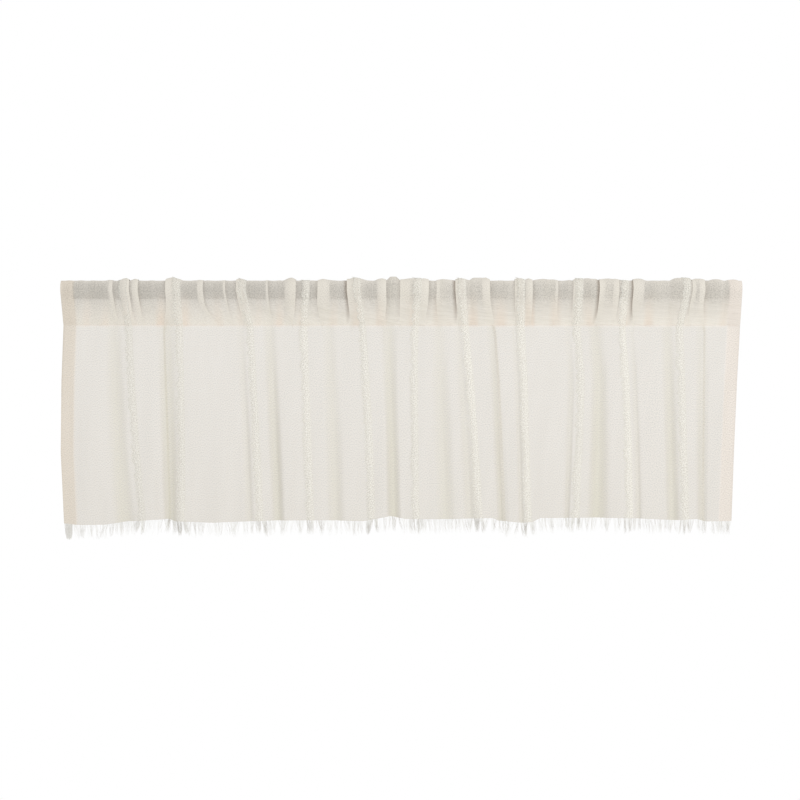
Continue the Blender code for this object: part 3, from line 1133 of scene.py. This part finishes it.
def make_rod(material):
    """A round bar with eased ends."""
    low, high = (np.array(corner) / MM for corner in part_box("rod"))
    sides = 72
    ease = 0.8
    middle_ring = 0.01
    sharp_edge = math.radians(35)
    profile = [(low[0], 0.0), (low[0], ROD_RADIUS - ease), (low[0] + ease, ROD_RADIUS)]
    profile += [(high[0] - ease, ROD_RADIUS), (high[0], ROD_RADIUS - ease), (high[0], 0.0)]
    points = []
    for x, radius in profile:
        size = max(radius, middle_ring)
        for i in range(sides):
            turn = 2 * math.pi * i / sides
            points.append((x, size * math.cos(turn), size * math.sin(turn)))
    faces = []
    for ring in range(len(profile) - 1):
        for i in range(sides):
            a = ring * sides + i
            b = ring * sides + (i + 1) % sides
            faces.append((a, a + sides, b + sides, b))
    mesh = mesh_of("rod_bar", points, faces)
    mesh.set_sharp_from_angle(angle=sharp_edge)
    rod = link("rod_bar", mesh, material)
    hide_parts("rod")
    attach(rod, "root")


def make_camera():
    """Square on to the cloth, with the photograph's frame."""
    data = bpy.data.cameras.new("camera")
    data.sensor_width = SENSOR
    data.lens = SENSOR * CAMERA_DISTANCE / (PHOTO_PIXELS * MM_PER_PIXEL)
    camera = bpy.data.objects.new("camera", data)
    x = (PHOTO_PIXELS / 2 - ROD_MIDDLE_PIXEL[0]) * MM_PER_PIXEL
    z = (ROD_MIDDLE_PIXEL[1] - PHOTO_PIXELS / 2) * MM_PER_PIXEL
    camera.location = (x * MM, -CAMERA_DISTANCE * MM, z * MM)
    camera.rotation_euler = (math.radians(90), 0, 0)
    bpy.context.scene.collection.objects.link(camera)
    bpy.context.scene.camera = camera


def make_light():
    """A white surround, dimmer to the cloth than to the eye, and one broad light from the upper right."""
    scene = bpy.context.scene
    scene.view_settings.view_transform = "Standard"
    world = scene.world or bpy.data.worlds.new("surround")
    scene.world = world
    world.use_nodes = True
    tree = world.node_tree
    tree.nodes.clear()
    out = tree.nodes.new("ShaderNodeOutputWorld")
    seen = node(tree, "ShaderNodeBackground", (-200, 100), Color=(1, 1, 1, 1), Strength=1.0)
    lit = node(tree, "ShaderNodeBackground", (-200, -100), Color=(1, 1, 1, 1), Strength=SURROUND_LIGHT)
    path = tree.nodes.new("ShaderNodeLightPath")
    choose = tree.nodes.new("ShaderNodeMixShader")
    tree.links.new(path.outputs["Is Camera Ray"], choose.inputs["Fac"])
    tree.links.new(lit.outputs["Background"], choose.inputs[1])
    tree.links.new(seen.outputs["Background"], choose.inputs[2])
    tree.links.new(choose.outputs["Shader"], out.inputs["Surface"])
    data = bpy.data.lights.new("broad_light", "AREA")
    data.shape = "RECTANGLE"
    data.size, data.size_y = LIGHT_SIZE
    data.energy = LIGHT_POWER
    light = bpy.data.objects.new("broad_light", data)
    light.location = LIGHT_PLACE
    light.rotation_euler = LIGHT_TURN
    scene.collection.objects.link(light)


def make_floor():
    """A plain pale floor, well below the valance and out of the photograph's frame."""
    material, _tree, shader = new_material("pale_floor", 0.8)
    shader.inputs["Base Color"].default_value = (0.9, 0.9, 0.89, 1.0)
    corners = [(x * FLOOR_HALF, y * FLOOR_HALF, FLOOR_Z) for x, y in ((-1, -1), (1, -1), (1, 1), (-1, 1))]
    floor = link("pale_floor", mesh_of("pale_floor", corners, [(0, 1, 2, 3)], False), material)


make_camera()
make_light()
make_floor()

gauze = gauze_material()
strip_cotton = strip_material()
loose_cotton = thread_material("loose_cotton", (0.86, 0.83, 0.75), (0.95, 0.94, 0.89))
fringe_cotton = thread_material("fringe_cotton", (0.74, 0.72, 0.68), (0.95, 0.94, 0.90))

sheet, places_on_cloth, bunched, tints = cloth_grid()
panel = make_panel(sheet, places_on_cloth, bunched, tints, gauze)
trimmings = []
for number, column in enumerate(COLUMNS.strip_starts, 1):
    trimmings += make_strip(number, sheet, column, strip_cotton, loose_cotton)
trimmings.append(make_fringe(sheet, fringe_cotton))
stitch_cotton = thread_material("stitch_cotton", (0.90, 0.81, 0.73), (0.96, 0.88, 0.81))
trimmings.append(make_stitches(sheet, stitch_cotton))
make_rod(rod_material())
